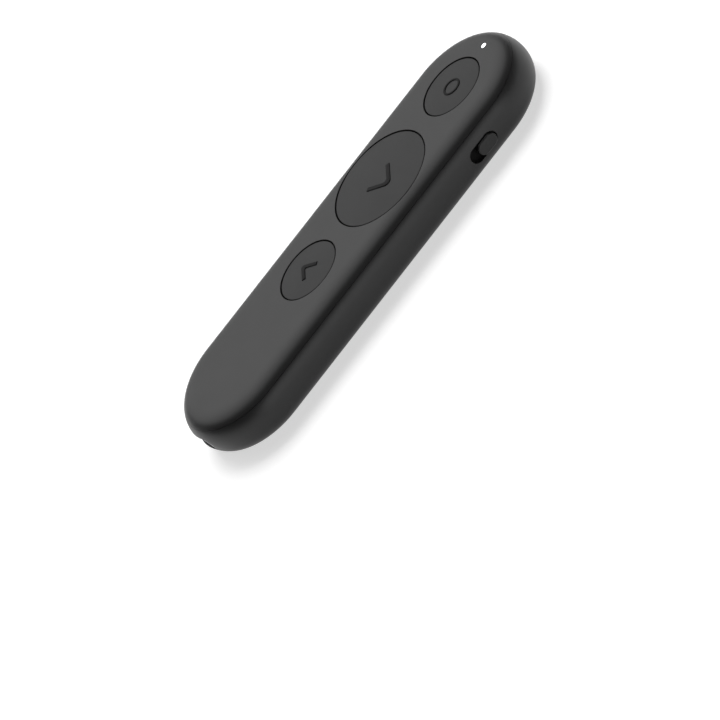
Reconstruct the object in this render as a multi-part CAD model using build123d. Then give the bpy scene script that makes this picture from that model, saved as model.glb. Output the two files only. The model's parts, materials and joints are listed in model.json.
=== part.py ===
from build123d import *
import math
import os

# Presenter remote lying on its back: +Y runs to the end with the status light, +X to the flank with the
# power slider, +Z out of the front. The origin is under the middle of the back. All sizes are millimetres.

# Body
body_length = 104.0
body_width = 32.0
body_thickness = 10.5
edge_reach = 3.9
edge_tight_radius = 2.05
edge_tight_turn = 25
seam_depth = 1.6
flank_wall = 2.4
floor_wall = 1.5
cover_wall = 1.5
cavity_corner = 1.2
seam_groove = 0.15
rim_land = 0.7
overrun = 1.0

# Lip of the front cover and its snap hooks
lip_wall = 0.8
lip_depth = 1.2
lip_clearance = 0.1
hook_length = 5.0
hook_height = 0.5
hook_reach = 0.35
hook_clearance = 0.1
hook_rise = 0.15
hook_place_shares = (-0.7, 0.0, 0.45)

# Buttons
pointer_button_from_end = 16.0
button_pitch = 23.72
small_button_radius = 7.26
next_button_margin = 0.06
button_gap = 0.2
button_recess = 0.1
button_travel = 0.25
button_edge_radius = 0.2
hole_edge_radius = 0.12
button_skin = 1.2
button_wall = 1.2
button_flange = 0.6
button_flange_reach = 0.45
button_post_radius = 1.5
running_gap = 0.1
key_radius = 0.5
key_clearance = 0.15
key_end_gap = 0.2

# Symbols raised on the buttons
symbol_height = 0.15
ring_radius = 1.9
ring_line = 0.5
next_tip = 4.02
next_tail = 1.1
next_rise = 3.32
next_line = 1.0
next_outer_bend = 1.2
next_inner_bend = 0.75
previous_tip = 2.35
previous_tail = 1.07
previous_rise = 2.13
previous_line = 0.9
previous_outer_bend = 0.68
previous_inner_bend = 0.36

# Push switches
switch_side = 5.2
switch_height = 1.2
switch_base = 0.15
switch_lid = 0.25
switch_cavity_radius = 2.1
plunger_radius = 1.2
plunger_flange_radius = 1.75
plunger_proud = 0.35
plunger_clearance = 0.1
dome_radius = 1.9
dome_height = 0.35
dome_wall = 0.08
dome_gap = 0.05

# Power slider, its slot and the slide switch behind it
slot_from_end = 23.1
slot_length = 7.36
slot_height = 3.4
slot_drop = 0.3
slot_wall = 1.3
slider_travel = 2.0
slider_end_gap = 0.15
slider_side_gap = 0.2
slider_proud = 0.45
slider_edge_radius = 0.4
slider_flange = 0.9
slider_flange_margin = 0.6
slider_clearance = 0.1
fork_wall = 0.8
fork_height = 0.9
fork_bite = 1.2
slide_switch_length = 6.7
slide_switch_depth = 2.7
slide_switch_height = 1.4
slide_switch_wall = 0.25
actuator_width = 1.3
actuator_height = 0.7
actuator_reach = 1.5
actuator_shoe_length = 2.6
actuator_clearance = 0.1

# Main board and its screws
board_thickness = 1.0
board_clearance = 0.35
notch_clearance = 0.15
screw_radius = 0.8
screw_length = 3.6
screw_head_radius = 1.4
screw_head_height = 0.7
screw_slot_width = 0.35
screw_slot_depth = 0.35
screw_slot_margin = 0.4
screw_clearance = 0.05
screw_hole_clearance = 0.1
screw_tip_gap = 0.3
boss_radius = 1.7
upper_screw_from_button = 5.0
upper_screw_side = 8.5
lower_screw_from_port = 4.0
lower_screw_side = 9.5
post_radius = 1.2
post_from_cell_end = 2.0
post_cell_gap = 0.4

# Charging port
port_width = 8.94
port_height = 3.16
port_wall = 0.3
port_depth = 7.35
port_setback = 0.65
port_clearance = 0.1
port_tab_reach = 1.4
port_tab_length = 2.0
port_tab_thickness = 0.2
port_rear_block = 1.2
tongue_width = 6.69
tongue_thickness = 0.7
tongue_length = 4.6
contact_count = 12
contact_pitch = 0.5
contact_width = 0.25
contact_thickness = 0.06
contact_length = 3.6
contact_tip_gap = 0.4

# Cell, its protection board, leads, plug and socket
cell_length = 40.0
cell_width = 21.0
cell_end_gap = 1.5
cell_swell_gap = 0.4
cell_edge_radius = 0.5
tape_thickness = 0.2
tape_margin = 1.5
guard_length = 3.0
guard_width = 17.0
guard_thickness = 0.8
socket_width = 5.0
socket_length = 3.2
socket_height = 1.9
socket_wall = 0.35
plug_length = 3.0
plug_bite = 1.6
plug_clearance = 0.1
lead_span = 9.1
lead_radius = 0.45
lead_start_spread = 2.5
lead_end_spread = 0.75
lead_run_share = 0.27
lead_arc_share = 0.45

# Chips on the board
radio_side = 5.0
radio_height = 0.85
crystal_length = 2.0
crystal_width = 1.6
crystal_height = 0.5
sensor_length = 3.0
sensor_width = 2.5
sensor_height = 0.86
charger_side = 3.0
charger_height = 0.75
aerial_length = 3.2
aerial_width = 1.6
aerial_height = 0.6
aerial_side = 4.6
chip_gap = 0.8
passive_length = 1.0
passive_width = 0.5
passive_height = 0.4
passive_pitch = 1.1
passive_count = 5

# Status light
light_from_end = 5.3
pipe_radius = 0.6
pipe_flange_radius = 1.2
pipe_flange = 0.5
pipe_clearance = 0.05
lamp_length = 1.6
lamp_width = 0.8
lamp_height = 0.6
lamp_gap = 0.15

# Glossy disc in the back
disc_from_end = 17.2
disc_margin = 0.1
disc_thickness = 0.8
disc_recess = 0.1
disc_edge_radius = 0.15
disc_clearance = 0.05
film_thickness = 0.1
film_margin = 0.6

# Places that follow from the sizes above
half_width = body_width / 2
end_center = body_length / 2 - half_width
flat_half_width = half_width - edge_reach
turn = math.radians(edge_tight_turn)
edge_wide_radius = edge_tight_radius + (edge_reach - edge_tight_radius) / (math.cos(turn) - math.sin(turn))
edge_wide_turn = 90 - 2 * edge_tight_turn
seam_level = body_thickness - seam_depth
ceiling = body_thickness - cover_wall
cavity_half_width = half_width - flank_wall
lip_outer = cavity_half_width - lip_clearance
lip_inner = lip_outer - lip_wall
lip_bottom = seam_level - lip_depth

pointer_y = body_length / 2 - pointer_button_from_end
next_y = pointer_y - button_pitch
previous_y = next_y - button_pitch
next_button_radius = flat_half_width - next_button_margin - button_gap
button_top = body_thickness - button_recess
flange_top = ceiling - running_gap
flange_bottom = flange_top - button_flange

board_bottom = body_thickness / 2 - board_thickness / 2
board_top = board_bottom + board_thickness
board_half_width = cavity_half_width - board_clearance
switch_floor = board_top + switch_base
plunger_bottom = switch_floor + dome_height + dome_gap
plunger_flange_top = board_top + switch_height - switch_lid - plunger_clearance
plunger_top = board_top + switch_height + plunger_proud

slot_y = body_length / 2 - slot_from_end
slot_level = body_thickness / 2 - slot_drop
slider_y = slot_y + slider_travel / 2
slider_length = slot_length - slider_travel - 2 * slider_end_gap
slider_height = slot_height - 2 * slider_side_gap
flange_length = slider_length + 2 * (slider_travel + slider_end_gap + slider_flange_margin)
flange_height = slot_height + 2 * slider_flange_margin
pocket_face = half_width - slot_wall
slider_flange_face = pocket_face - slider_clearance
slider_flange_back = slider_flange_face - slider_flange
actuator_level = board_bottom - slide_switch_height / 2
actuator_tip = slider_flange_back - slider_clearance
slide_switch_front = actuator_tip - actuator_reach

port_mouth = -body_length / 2 + port_setback
port_rear = port_mouth + port_depth
port_level = body_thickness / 2

upper_screw_y = pointer_y + upper_screw_from_button
lower_screw_y = port_rear + lower_screw_from_port
screw_places = [
    (-upper_screw_side, upper_screw_y),
    (upper_screw_side, upper_screw_y),
    (-lower_screw_side, lower_screw_y),
    (lower_screw_side, lower_screw_y),
]

cell_start = lower_screw_y + boss_radius + cell_end_gap
cell_end = cell_start + cell_length
cell_bottom = floor_wall + tape_thickness
cell_top = board_bottom - cell_swell_gap
guard_end = cell_end + guard_length
post_y = cell_end - post_from_cell_end
post_side = cell_width / 2 + post_cell_gap + post_radius
lead_level = board_bottom - socket_height / 2
plug_front = guard_end + lead_span + plug_length
socket_y = plug_front - plug_bite + socket_length / 2

light_y = body_length / 2 - light_from_end
disc_y = body_length / 2 - disc_from_end
disc_radius = flat_half_width - disc_margin
disc_pocket = disc_recess + disc_thickness + film_thickness


def rod(x, y, radius, bottom, top):
    """Upright cylinder between two levels."""
    return Pos(x, y, bottom) * Cylinder(radius, top - bottom, align=(Align.CENTER, Align.CENTER, Align.MIN))


def block(x_range, y_range, z_range):
    """Box between two limits along each axis."""
    sizes = [high - low for low, high in (x_range, y_range, z_range)]
    middle = [(high + low) / 2 for low, high in (x_range, y_range, z_range)]
    return Pos(*middle) * Box(*sizes)


def chip(x, y, length, width, height):
    """Component on top of the board, its length along X."""
    x_range = (x - length / 2, x + length / 2)
    return block(x_range, (y - width / 2, y + width / 2), (board_top, board_top + height))


def bar_prism(bar_half_width, bottom, top):
    """Upright prism with the outline of the body, drawn in to a smaller half width."""
    bar_length = body_length - 2 * (half_width - bar_half_width)
    outline = SlotOverall(bar_length, 2 * bar_half_width, rotation=90)
    return Pos(0, 0, bottom) * extrude(outline, top - bottom)


def edge_arcs(start, direction):
    """Three tangent arcs that turn a quarter of a circle: tight, wide and tight again."""
    arcs = []
    turns = [
        (edge_tight_radius, edge_tight_turn),
        (edge_wide_radius, edge_wide_turn),
        (edge_tight_radius, edge_tight_turn),
    ]
    for radius, angle in turns:
        arc = JernArc(start, direction, radius, angle)
        arcs.append(arc)
        start = arc @ 1
        direction = arc % 1
    return arcs


def body_solid():
    """Whole outer shape: a straight bar with two half-round ends, all with the same rounded edge."""
    back = Line((0, 0), (flat_half_width, 0))
    lower_edge = edge_arcs(back @ 1, back % 1)
    flank = Line(lower_edge[-1] @ 1, (half_width, body_thickness - edge_reach))
    upper_edge = edge_arcs(flank @ 1, flank % 1)
    front = Line(upper_edge[-1] @ 1, (0, body_thickness))
    middle = Line((0, body_thickness), (0, 0))
    half_section = Plane.XZ * make_face([back, *lower_edge, flank, *upper_edge, front, middle])
    half_bar = extrude(half_section, end_center, both=True)
    half_round = revolve(half_section, Axis.Z, 180)
    body = half_bar + mirror(half_bar, Plane.YZ)
    body += Pos(0, end_center, 0) * half_round
    return body + Pos(0, -end_center, 0) * Rot(0, 0, 180) * half_round


def hook_blocks(side, grow):
    """Snap hooks along one side of the lip, or with a growth their recesses in the wall."""
    low = lip_bottom + hook_rise
    hooks = []
    for share in hook_place_shares:
        y = share * end_center
        hooks.append(block(
            sorted((side * (lip_outer - lip_wall / 2), side * (lip_outer + hook_reach + grow))),
            (y - hook_length / 2 - grow, y + hook_length / 2 + grow),
            (low - grow, low + hook_height + grow),
        ))
    return hooks


def button_hole_radius(cap_radius):
    """Radius of the hole that a button cap moves in."""
    return cap_radius + button_gap


def button_key_y(y, cap_radius):
    """Place of the key that keeps a round button from turning."""
    return y + button_hole_radius(cap_radius) + key_radius


def front_cover():
    """Front face with the upper part of the rounded edge, its lip, hooks and button keys."""
    cover = split(body_solid(), Plane.XY.offset(seam_level), keep=Keep.TOP)
    cover -= bar_prism(lip_inner, seam_level - overrun, ceiling)
    cover -= bar_prism(half_width + overrun, seam_level - overrun, seam_level + seam_groove) - bar_prism(
        cavity_half_width + rim_land, seam_level - overrun, seam_level + seam_groove
    )
    for y, cap_radius in button_places():
        cover -= rod(0, y, button_hole_radius(cap_radius), seam_level, body_thickness + overrun)
    front_edges = cover.edges().filter_by(GeomType.CIRCLE).group_by(Axis.Z)[-1]
    small = [edge for edge in front_edges if edge.is_closed]
    cover = fillet(small, hole_edge_radius)
    cover -= rod(0, light_y, pipe_radius + pipe_clearance, seam_level, body_thickness + overrun)
    cover += bar_prism(lip_outer, lip_bottom, ceiling) - bar_prism(lip_inner, lip_bottom - overrun, ceiling)
    for side in (-1, 1):
        for hook in hook_blocks(side, 0):
            cover += hook
    key_bottom = flange_bottom - button_travel - key_end_gap
    for y, cap_radius in button_places():
        cover += rod(0, button_key_y(y, cap_radius), key_radius, key_bottom, ceiling + cover_wall / 2)
    return cover


def slider_slot():
    """Cut for the slider: the slot through the flank and the pocket for the flange behind it."""
    slot = extrude(SlotOverall(slot_length, slot_height), flank_wall + overrun)
    slot = Pos(cavity_half_width, slot_y, slot_level) * (Plane.YZ * slot)
    pocket_half_length = (flange_length + slider_travel) / 2 + slider_end_gap
    pocket_half_height = flange_height / 2 + slider_side_gap
    pocket = block(
        (cavity_half_width - overrun, pocket_face),
        (slot_y - pocket_half_length, slot_y + pocket_half_length),
        (slot_level - pocket_half_height, slot_level + pocket_half_height),
    )
    return slot + pocket


def port_prism(grow, start, end):
    """Flat rounded prism of the port along Y, grown all round."""
    outline = SlotOverall(port_width + 2 * grow, port_height + 2 * grow)
    prism = extrude(Plane.XZ * outline, -(end - start))
    return Pos(0, start, port_level) * prism


def rear_housing():
    """Deep tub with the back and the flank, its board bosses and posts, slider slot, port and disc pocket."""
    tub = split(body_solid(), Plane.XY.offset(seam_level), keep=Keep.BOTTOM)
    cavity = bar_prism(cavity_half_width, floor_wall, seam_level + overrun)
    cavity = fillet(cavity.edges().group_by(Axis.Z)[0], cavity_corner)
    tub -= cavity
    for x, y in screw_places:
        tub += rod(x, y, boss_radius, floor_wall - floor_wall / 4, board_bottom)
        pilot_bottom = board_top - screw_length - screw_tip_gap
        tub -= rod(x, y, screw_radius + screw_clearance, pilot_bottom, board_bottom + overrun)
    for side in (-1, 1):
        tub += rod(side * post_side, post_y, post_radius, floor_wall - floor_wall / 4, board_bottom)
        for recess in hook_blocks(side, hook_clearance):
            tub -= recess
    tub -= slider_slot()
    tub -= port_prism(port_clearance, -body_length / 2 - overrun, port_rear)
    tub -= rod(0, disc_y, disc_radius + disc_clearance, -overrun, disc_pocket)
    return tub


def button_places():
    """Middle along Y and cap radius of the three buttons, from the light to the port."""
    return [(pointer_y, small_button_radius), (next_y, next_button_radius), (previous_y, small_button_radius)]


def button_cap(y, cap_radius, symbol):
    """Hollow round cap with a flange under the cover, a middle post and a raised symbol."""
    cap = rod(0, 0, cap_radius, flange_bottom, button_top)
    cap = fillet(cap.edges().group_by(Axis.Z)[-1], button_edge_radius)
    flange_radius = button_hole_radius(cap_radius) + button_flange_reach
    cap += rod(0, 0, flange_radius, flange_bottom, flange_top)
    cap -= rod(0, 0, cap_radius - button_wall, flange_bottom - overrun, button_top - button_skin)
    cap += rod(0, 0, button_post_radius, plunger_top, button_top - button_skin / 2)
    key_cut = key_radius + key_clearance
    cap -= rod(0, button_key_y(0, cap_radius), key_cut, flange_bottom - overrun, flange_top + overrun)
    cap += Pos(0, 0, button_top - button_skin / 2) * extrude(symbol, button_skin / 2 + symbol_height)
    return Pos(0, y, 0) * cap


def ring_symbol():
    """Plain ring."""
    return Circle(ring_radius + ring_line / 2) - Circle(ring_radius - ring_line / 2)


def chevron_symbol(tip, tail, rise, line, outer_bend, inner_bend):
    """Chevron whose middle line points along +X, with square ends and its bend rounded on both sides."""
    lean = math.atan2(rise, tip + tail)
    mitre = line / 2 / math.sin(lean)
    end_x = line / 2 * math.sin(lean)
    end_y = line / 2 * math.cos(lean)
    upper = [(end_x - tail, rise + end_y), (-end_x - tail, rise - end_y)]
    lower = [(-end_x - tail, end_y - rise), (end_x - tail, -rise - end_y)]
    outline = Polyline((tip + mitre, 0), *upper, (tip - mitre, 0), *lower, close=True)
    chevron = make_face(outline)
    chevron = fillet(chevron.vertices().sort_by(Axis.X)[-1], outer_bend)
    return fillet(chevron.vertices().sort_by_distance((tip - mitre, 0))[0], inner_bend)


def switch_body(y):
    """Body of a push switch, hollow for the dome and the plunger."""
    top = board_top + switch_height
    body = chip(0, y, switch_side, switch_side, switch_height)
    body -= rod(0, y, switch_cavity_radius, switch_floor, top - switch_lid)
    return body - rod(0, y, plunger_radius + plunger_clearance, switch_floor, top + overrun)


def switch_plunger(y):
    """Plunger of a push switch, held by its flange under the lid and met by the button post."""
    plunger = rod(0, y, plunger_flange_radius, plunger_bottom, plunger_flange_top)
    return plunger + rod(0, y, plunger_radius, plunger_bottom, plunger_top)


def switch_dome(y):
    """Thin snap dome on the floor of a push switch."""
    outer = (dome_radius**2 + dome_height**2) / (2 * dome_height)
    shell = Pos(0, 0, dome_height - outer) * (Sphere(outer) - Sphere(outer - dome_wall))
    shell = split(shell, Plane.XY, keep=Keep.TOP)
    return Pos(0, y, switch_floor) * shell


def power_slider():
    """Slider knob in the slot, its flange behind the wall and the fork that drives the slide switch."""
    reach = half_width + slider_proud - slider_flange_face + slider_flange / 2
    knob = extrude(Plane.YZ * SlotOverall(slider_length, slider_height), reach)
    knob = fillet(knob.edges().group_by(Axis.X)[-1], slider_edge_radius)
    slider = Pos(slider_flange_face - slider_flange / 2, slider_y, slot_level) * knob
    slider += block(
        (slider_flange_back, slider_flange_face),
        (slider_y - flange_length / 2, slider_y + flange_length / 2),
        (slot_level - flange_height / 2, slot_level + flange_height / 2),
    )
    prong_inside = actuator_width / 2 + actuator_clearance
    for side in (-1, 1):
        slider += block(
            (actuator_tip - fork_bite, slider_flange_back + slider_flange / 2),
            sorted((slider_y + side * prong_inside, slider_y + side * (prong_inside + fork_wall))),
            (actuator_level - fork_height / 2, actuator_level + fork_height / 2),
        )
    return slider


def slide_switch_body():
    """Slide switch under the board: a hollow case with a window for the actuator."""
    rear = slide_switch_front - slide_switch_depth
    bottom = board_bottom - slide_switch_height
    half_length = slide_switch_length / 2
    wall = slide_switch_wall
    y_range = (slot_y - half_length, slot_y + half_length)
    case = block((rear, slide_switch_front), y_range, (bottom, board_bottom))
    case -= block(
        (rear + wall, slide_switch_front - wall),
        (slot_y - half_length + wall, slot_y + half_length - wall),
        (bottom + wall, board_bottom - wall),
    )
    window_half_length = (actuator_width + slider_travel) / 2 + actuator_clearance
    window_half_height = actuator_height / 2 + actuator_clearance
    return case - block(
        (slide_switch_front - wall - overrun, slide_switch_front + overrun),
        (slot_y - window_half_length, slot_y + window_half_length),
        (actuator_level - window_half_height, actuator_level + window_half_height),
    )


def slide_switch_actuator():
    """Shoe inside the slide switch and the stem that the fork holds."""
    shoe_front = slide_switch_front - slide_switch_wall - actuator_clearance
    shoe_back = slide_switch_front - slide_switch_depth + slide_switch_wall + actuator_clearance
    shoe_half_height = slide_switch_height / 2 - slide_switch_wall - actuator_clearance
    shoe = block(
        (shoe_back, shoe_front),
        (slider_y - actuator_shoe_length / 2, slider_y + actuator_shoe_length / 2),
        (actuator_level - shoe_half_height, actuator_level + shoe_half_height),
    )
    return shoe + block(
        ((shoe_back + shoe_front) / 2, actuator_tip),
        (slider_y - actuator_width / 2, slider_y + actuator_width / 2),
        (actuator_level - actuator_height / 2, actuator_level + actuator_height / 2),
    )


def main_board():
    """Circuit board on the bosses, notched for the port and drilled for the screws."""
    board = bar_prism(board_half_width, board_bottom, board_top)
    notch_half_width = port_width / 2 + notch_clearance
    board -= block(
        (-notch_half_width, notch_half_width),
        (-body_length / 2, port_rear + notch_clearance),
        (board_bottom - overrun, board_top + overrun),
    )
    for x, y in screw_places:
        hole = screw_radius + screw_hole_clearance
        board -= rod(x, y, hole, board_bottom - overrun, board_top + overrun)
    return board


def board_screws():
    """Four self-tapping screws with a cross in the head."""
    screws = []
    head_top = board_top + screw_head_height
    cross = screw_head_radius - screw_slot_margin
    for x, y in screw_places:
        screw = rod(x, y, screw_radius, board_top - screw_length, board_top + screw_head_height / 2)
        screw += rod(x, y, screw_head_radius, board_top, head_top)
        for half_x, half_y in ((cross, screw_slot_width / 2), (screw_slot_width / 2, cross)):
            screw -= block(
                (x - half_x, x + half_x),
                (y - half_y, y + half_y),
                (head_top - screw_slot_depth, head_top + overrun),
            )
        screws.append(screw)
    return Compound(children=screws)


def port_shell():
    """Metal tube of the port with two side tabs on the board."""
    shell = port_prism(0, port_mouth, port_rear)
    shell -= port_prism(-port_wall, port_mouth - overrun, port_rear + overrun)
    for side in (-1, 1):
        shell += block(
            sorted((side * (port_width / 2 - port_wall), side * (port_width / 2 + port_tab_reach))),
            (port_rear - port_depth / 2, port_rear - port_depth / 2 + port_tab_length),
            (board_top, board_top + port_tab_thickness),
        )
    return shell


def port_tongue():
    """Tongue of the port and the block that closes the tube behind it."""
    block_front = port_rear - port_rear_block
    tongue = port_prism(-port_wall, block_front, port_rear)
    return tongue + block(
        (-tongue_width / 2, tongue_width / 2),
        (block_front - tongue_length, block_front + port_rear_block / 2),
        (port_level - tongue_thickness / 2, port_level + tongue_thickness / 2),
    )


def port_contacts():
    """Rows of contacts on both faces of the tongue."""
    tip = port_rear - port_rear_block - tongue_length + contact_tip_gap
    contacts = []
    for side in (-1, 1):
        face = port_level + side * tongue_thickness / 2
        for index in range(contact_count):
            x = (index - (contact_count - 1) / 2) * contact_pitch
            contacts.append(block(
                (x - contact_width / 2, x + contact_width / 2),
                (tip, tip + contact_length),
                sorted((face, face + side * contact_thickness)),
            ))
    return Compound(children=contacts)


def cell():
    """Flat pouch cell on its tape."""
    pouch = block((-cell_width / 2, cell_width / 2), (cell_start, cell_end), (cell_bottom, cell_top))
    return fillet(pouch.edges().filter_by(Axis.Y), cell_edge_radius)


def cell_tape():
    """Double-sided tape between the cell and the back."""
    half = cell_width / 2 - tape_margin
    return block((-half, half), (cell_start + tape_margin, cell_end - tape_margin), (floor_wall, cell_bottom))


def cell_guard():
    """Protection board on the end of the cell."""
    half = guard_thickness / 2
    z_range = (lead_level - half, lead_level + half)
    return block((-guard_width / 2, guard_width / 2), (cell_end, guard_end), z_range)


def cell_lead(side):
    """Lead from the protection board to the plug: three straight runs joined by two tangent arcs."""
    end = guard_end + lead_span
    run = lead_run_share * lead_span
    lean = math.atan2(lead_start_spread - lead_end_spread, lead_span - 2 * run)
    points = [
        (side * lead_start_spread, guard_end, lead_level),
        (side * lead_start_spread, guard_end + run, lead_level),
        (side * lead_end_spread, end - run, lead_level),
        (side * lead_end_spread, end, lead_level),
    ]
    path = FilletPolyline(*points, radius=lead_arc_share * run / math.tan(lean / 2))
    section = Plane(origin=points[0], x_dir=(1, 0, 0), z_dir=(0, 1, 0)) * Circle(lead_radius)
    return sweep(section, path)


def cell_plug():
    """Plug on the leads, part of it inside the socket."""
    half_width_x = socket_width / 2 - socket_wall - plug_clearance
    half_height = socket_height / 2 - socket_wall - plug_clearance
    y_range = (plug_front - plug_length, plug_front)
    return block((-half_width_x, half_width_x), y_range, (lead_level - half_height, lead_level + half_height))


def cell_socket():
    """Socket under the board, open towards the plug."""
    half_length = socket_length / 2
    half_height = socket_height / 2
    inner_x = socket_width / 2 - socket_wall
    inner_z = half_height - socket_wall
    socket = block(
        (-socket_width / 2, socket_width / 2),
        (socket_y - half_length, socket_y + half_length),
        (lead_level - half_height, lead_level + half_height),
    )
    return socket - block(
        (-inner_x, inner_x),
        (socket_y - half_length - overrun, plug_front + plug_clearance),
        (lead_level - inner_z, lead_level + inner_z),
    )


def radio_y():
    """The radio chip lies midway between the next and the previous button."""
    return (next_y + previous_y) / 2


def charger_y():
    """The charger chip lies midway between the previous button and the port."""
    return (previous_y + port_rear) / 2


def passive_row(x, y):
    """Row of small passives along Y at one side of a chip."""
    first = y - (passive_count - 1) / 2 * passive_pitch
    places = [first + index * passive_pitch for index in range(passive_count)]
    return [chip(x, place, passive_length, passive_width, passive_height) for place in places]


def board_passives():
    """Rows of passives beside the radio chip and both sides of the charger chip."""
    radio_side_x = radio_side / 2 + chip_gap + passive_length / 2
    charger_side_x = charger_side / 2 + chip_gap + passive_length / 2
    rows = passive_row(radio_side_x, radio_y())
    for side in (-1, 1):
        rows += passive_row(side * charger_side_x, charger_y())
    return Compound(children=rows)


def light_pipe():
    """Clear pipe through the front cover, held by its flange, down to the lamp."""
    pipe = rod(0, light_y, pipe_radius, board_top + lamp_height + lamp_gap, body_thickness)
    return pipe + rod(0, light_y, pipe_flange_radius, ceiling - pipe_flange, ceiling)


def back_disc():
    """Glossy disc set flush into the back."""
    disc = rod(0, disc_y, disc_radius, disc_recess, disc_recess + disc_thickness)
    return fillet(disc.edges().group_by(Axis.Z)[0], disc_edge_radius)


def disc_film():
    """Adhesive film between the disc and the housing."""
    return rod(0, disc_y, disc_radius - film_margin, disc_recess + disc_thickness, disc_pocket)


def all_parts():
    """Every piece under its own name."""
    next_lines = next_tip, next_tail, next_rise, next_line
    previous_lines = previous_tip, previous_tail, previous_rise, previous_line
    chevron_next = chevron_symbol(*next_lines, next_outer_bend, next_inner_bend)
    chevron_back = chevron_symbol(*previous_lines, previous_outer_bend, previous_inner_bend)
    crystal_x = -(radio_side / 2 + chip_gap + crystal_length / 2)
    parts = {
        "front_cover": front_cover(),
        "rear_housing": rear_housing(),
        "pointer_button": button_cap(pointer_y, small_button_radius, ring_symbol()),
        "next_button": button_cap(next_y, next_button_radius, chevron_next),
        "previous_button": button_cap(previous_y, small_button_radius, Rot(0, 0, 180) * chevron_back),
        "power_slider": power_slider(),
        "slide_switch_body": slide_switch_body(),
        "slide_switch_actuator": slide_switch_actuator(),
        "main_board": main_board(),
        "board_screws": board_screws(),
        "port_shell": port_shell(),
        "port_tongue": port_tongue(),
        "port_contacts": port_contacts(),
        "cell": cell(),
        "cell_tape": cell_tape(),
        "cell_guard": cell_guard(),
        "cell_lead_positive": cell_lead(1),
        "cell_lead_negative": cell_lead(-1),
        "cell_plug": cell_plug(),
        "cell_socket": cell_socket(),
        "radio_chip": chip(0, radio_y(), radio_side, radio_side, radio_height),
        "radio_crystal": chip(crystal_x, radio_y(), crystal_length, crystal_width, crystal_height),
        "motion_sensor": chip(0, (pointer_y + next_y) / 2, sensor_length, sensor_width, sensor_height),
        "charger_chip": chip(0, charger_y(), charger_side, charger_side, charger_height),
        "aerial_chip": chip(-aerial_side, light_y, aerial_length, aerial_width, aerial_height),
        "board_passives": board_passives(),
        "light_pipe": light_pipe(),
        "status_lamp": chip(0, light_y, lamp_length, lamp_width, lamp_height),
        "back_disc": back_disc(),
        "disc_film": disc_film(),
    }
    for name, (y, _) in zip(("pointer", "next", "previous"), button_places()):
        parts[name + "_switch_body"] = switch_body(y)
        parts[name + "_switch_plunger"] = switch_plunger(y)
        parts[name + "_switch_dome"] = switch_dome(y)
    return parts


os.makedirs("parts", exist_ok=True)
for node, shape in all_parts().items():
    export_step(shape, "parts/" + node + ".step")
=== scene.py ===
import json
import math
from collections import namedtuple

import bmesh
import bpy
import numpy as np
from bpy.props import FloatProperty, FloatVectorProperty, PointerProperty
from bpy.types import Operator, Panel, PropertyGroup
from mathutils import Matrix, Vector
from mathutils.geometry import tessellate_polygon


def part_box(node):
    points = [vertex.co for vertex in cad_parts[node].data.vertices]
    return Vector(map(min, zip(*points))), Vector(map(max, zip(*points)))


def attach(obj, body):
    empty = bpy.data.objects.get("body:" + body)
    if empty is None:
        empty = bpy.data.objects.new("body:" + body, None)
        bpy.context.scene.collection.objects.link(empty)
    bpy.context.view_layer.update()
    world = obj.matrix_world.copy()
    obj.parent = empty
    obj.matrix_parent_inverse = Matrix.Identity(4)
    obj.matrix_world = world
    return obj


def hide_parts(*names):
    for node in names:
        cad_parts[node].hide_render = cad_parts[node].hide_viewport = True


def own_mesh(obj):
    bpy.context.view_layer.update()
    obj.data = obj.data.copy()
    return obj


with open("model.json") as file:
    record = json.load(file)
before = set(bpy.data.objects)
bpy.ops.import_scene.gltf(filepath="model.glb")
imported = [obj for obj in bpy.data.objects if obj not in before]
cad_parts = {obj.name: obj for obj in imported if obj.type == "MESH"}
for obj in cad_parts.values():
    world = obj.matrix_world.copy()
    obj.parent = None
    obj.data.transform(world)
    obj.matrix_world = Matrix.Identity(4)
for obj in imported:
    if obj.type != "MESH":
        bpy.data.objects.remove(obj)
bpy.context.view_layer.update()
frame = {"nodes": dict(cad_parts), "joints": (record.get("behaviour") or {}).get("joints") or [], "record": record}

# Dresses the solids of a flat presenter remote: smooth skins for the case, the buttons, the snap domes, the
# slider, the light pipe and the disc, a procedural finish for every piece, and a plain pale studio. Lengths
# are metres in the frame of the solids.

bl_info = {
    "name": "Presenter remote",
    "version": (1, 0, 0),
    "blender": (4, 5, 0),
    "location": "3D View > Sidebar > Remote",
    "description": "Skins, finishes and studio for a flat presenter remote",
    "category": "Object",
}

MM = 0.001
TUB_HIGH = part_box("rear_housing")[1]
COVER_LOW, COVER_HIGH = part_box("front_cover")
SLIDER_LOW, SLIDER_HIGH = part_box("power_slider")
DISC_LOW, DISC_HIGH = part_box("back_disc")
PIPE_LOW, PIPE_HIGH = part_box("light_pipe")
TONGUE_LOW, TONGUE_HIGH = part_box("port_tongue")
SLIDER_TRAVEL = {joint["name"]: joint["range_m"][1] for joint in frame["joints"]}["power_slide"]

# Middles of the pieces that sit in an opening, and of the slot that the slider rests at one end of.
SLIDER_Y = (SLIDER_LOW.y + SLIDER_HIGH.y) / 2
SLIDER_Z = (SLIDER_LOW.z + SLIDER_HIGH.z) / 2
SLOT_Y = SLIDER_Y - SLIDER_TRAVEL / 2
DISC_Y = (DISC_LOW.y + DISC_HIGH.y) / 2
PIPE_Y = (PIPE_LOW.y + PIPE_HIGH.y) / 2
PORT_Z = (TONGUE_LOW.z + TONGUE_HIGH.z) / 2

# The three buttons, and the way that the chevrons of two of them point along X.
BUTTONS = ("pointer", "next", "previous")
CHEVRON_SIDES = {"next": 1.0, "previous": -1.0}

# Snap hooks along each flank, as shares of half the straight run.
HOOK_PLACES = (-0.7, 0.0, 0.45)

# Points round the rings of the large discs, the ring symbol, the small round pieces, the board rests and the
# button keys.
WIDE_RING = 192
RIB_RING = 96
SMALL_RING = 48
POST_RING = 40
KEY_RING = 24

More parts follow.
